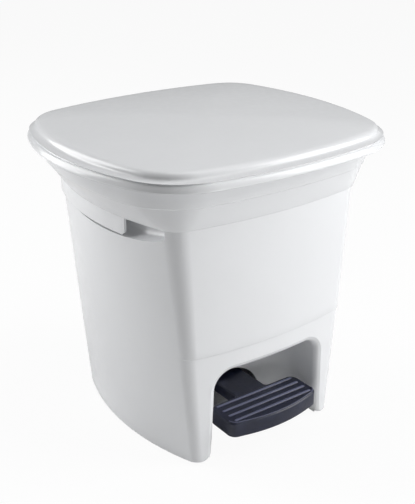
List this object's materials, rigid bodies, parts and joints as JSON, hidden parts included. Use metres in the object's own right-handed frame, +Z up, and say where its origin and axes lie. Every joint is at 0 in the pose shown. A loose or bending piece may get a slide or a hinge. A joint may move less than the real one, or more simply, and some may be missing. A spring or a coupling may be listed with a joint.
{
  "type": "pedal bin",
  "caption": "Pedal bin: tapered plastic casing with a foot niche, a ribbed pedal, a domed hinged lid lifted by a push rod, and a lift-out inner bucket with a wire bail.",
  "frame": {"origin": "on the floor, below the middle of the lid's outline (bottom centre of the bounding box)", "axes": "+Z up, -Y towards the user (the pedal side), +X to the right of someone looking along +Y at the pedal side; the lid's hinge is at +Y"},
  "size_m": [0.3, 0.266, 0.3027],
  "materials": {
    "casing_plastic": "glossy white polypropylene",
    "base_plastic": "satin white polypropylene",
    "lid_plastic": "glossy white polypropylene",
    "bucket_plastic": "satin white polypropylene",
    "pedal_plastic": "satin navy-black polypropylene",
    "clip_nylon": "satin black nylon",
    "foot_rubber": "matt black rubber",
    "screw_steel": "zinc-plated",
    "pin_steel": "bright drawn",
    "axle_steel": "bright drawn",
    "rod_steel": "galvanised wire",
    "bail_steel": "bright wire"
  },
  "bodies": {
    "casing": {"outer_casing": "casing_plastic", "base_plate": "base_plastic", "base_screw_right": "screw_steel", "base_screw_left": "screw_steel", "base_screw_back_right": "screw_steel", "base_screw_back_left": "screw_steel", "foot_front_left": "foot_rubber", "foot_front_right": "foot_rubber", "foot_back_left": "foot_rubber", "foot_back_right": "foot_rubber", "pedal_axle": "axle_steel", "rod_cover": "casing_plastic", "hinge_pin_left": "pin_steel", "hinge_pin_right": "pin_steel"},
    "lid": {"lid_shell": "lid_plastic", "lid_lever": "lid_plastic", "lever_screw_left": "screw_steel", "lever_screw_right": "screw_steel"},
    "pedal": {"pedal_lever": "pedal_plastic"},
    "rod": {"push_rod": "rod_steel", "rod_clip_lower": "clip_nylon", "rod_clip_upper": "clip_nylon"},
    "bucket": {"inner_bucket": "bucket_plastic"},
    "bail": {"bucket_bail": "bail_steel", "bail_grip": "bucket_plastic"}
  },
  "joints": [
    {"name": "lid_hinge", "type": "hinge", "parent": "casing", "child": "lid", "pos_m": [0, 0.111, 0.264], "axis": [-1, 0, 0], "range_deg": [0, 70]},
    {"name": "pedal_pivot", "type": "hinge", "parent": "casing", "child": "pedal", "pos_m": [0, -0.014, 0.034], "axis": [1, 0, 0], "range_deg": [0, 10.62]},
    {"name": "rod_pivot", "type": "hinge", "parent": "pedal", "child": "rod", "pos_m": [0, 0.084, 0.0249], "axis": [1, 0, 0], "range_deg": [-10.62, 0]},
    {"name": "bucket_lift", "type": "slide", "parent": "casing", "child": "bucket", "axis": [0, 0, 1], "range_m": [0, 0.006]},
    {"name": "bail_swing", "type": "hinge", "parent": "bucket", "child": "bail", "pos_m": [0, -0.008, 0.2523], "axis": [-1, 0, 0], "range_deg": [0, 12]}
  ],
  "couplings": [
    {"joint": "pedal_pivot", "follows": "lid_hinge", "ratio": 0.15162},
    {"joint": "rod_pivot", "follows": "lid_hinge", "ratio": -0.15162}
  ]
}
